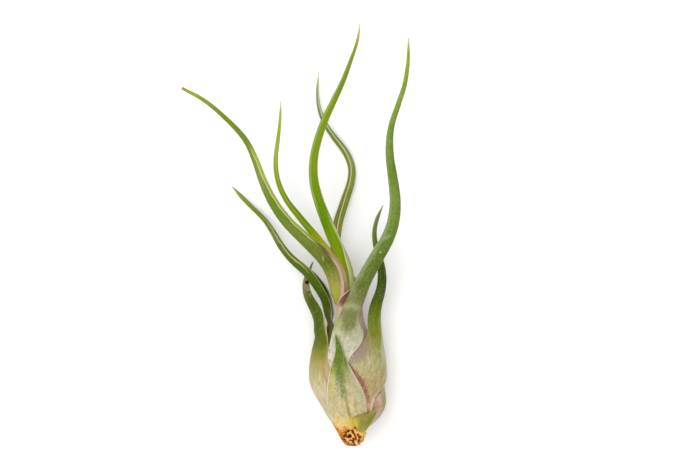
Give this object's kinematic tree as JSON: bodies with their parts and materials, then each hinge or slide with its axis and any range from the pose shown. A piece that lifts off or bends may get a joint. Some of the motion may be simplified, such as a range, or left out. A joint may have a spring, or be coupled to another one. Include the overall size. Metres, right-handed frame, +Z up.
{
  "type": "air plant",
  "caption": "Bulbous air plant lying on its back, with winding rolled leaves whose sheaths wrap one another into a hollow false bulb on a short torn stem.",
  "frame": {"origin": "middle of the flat spot under the bulb, on the surface that the plant lies on", "axes": "+Y from the torn crown towards the leaf tips, +Z up from the surface towards the side that the picture shows, +X to the right in the picture"},
  "size_m": [0.0852, 0.1578, 0.0424],
  "materials": {
    "dry_stem": "dry torn fibres, matt",
    "bract": "living leaf, yellow-green, satin",
    "leaf_pale_sheath": "pale sheath with fine grey scales and a mauve tint, matt",
    "leaf_sage": "grey-green leaf frosted with fine scales, matt",
    "leaf_dark": "dark green leaf with a cream margin, satin",
    "leaf_olive": "olive leaf with a cream margin, satin",
    "leaf_bright": "young yellow-green leaf, satin"
  },
  "bodies": {
    "root": {"stem": "dry_stem", "bract_base": "bract", "leaf_short_front": "leaf_pale_sheath", "leaf_front": "leaf_sage", "leaf_right": "leaf_dark", "leaf_left_low": "leaf_dark", "leaf_short_back": "leaf_pale_sheath", "leaf_left_mid": "leaf_dark", "leaf_back": "leaf_olive", "leaf_left_long": "leaf_sage", "leaf_thin": "leaf_bright", "leaf_centre": "leaf_bright"}
  },
  "joints": []
}
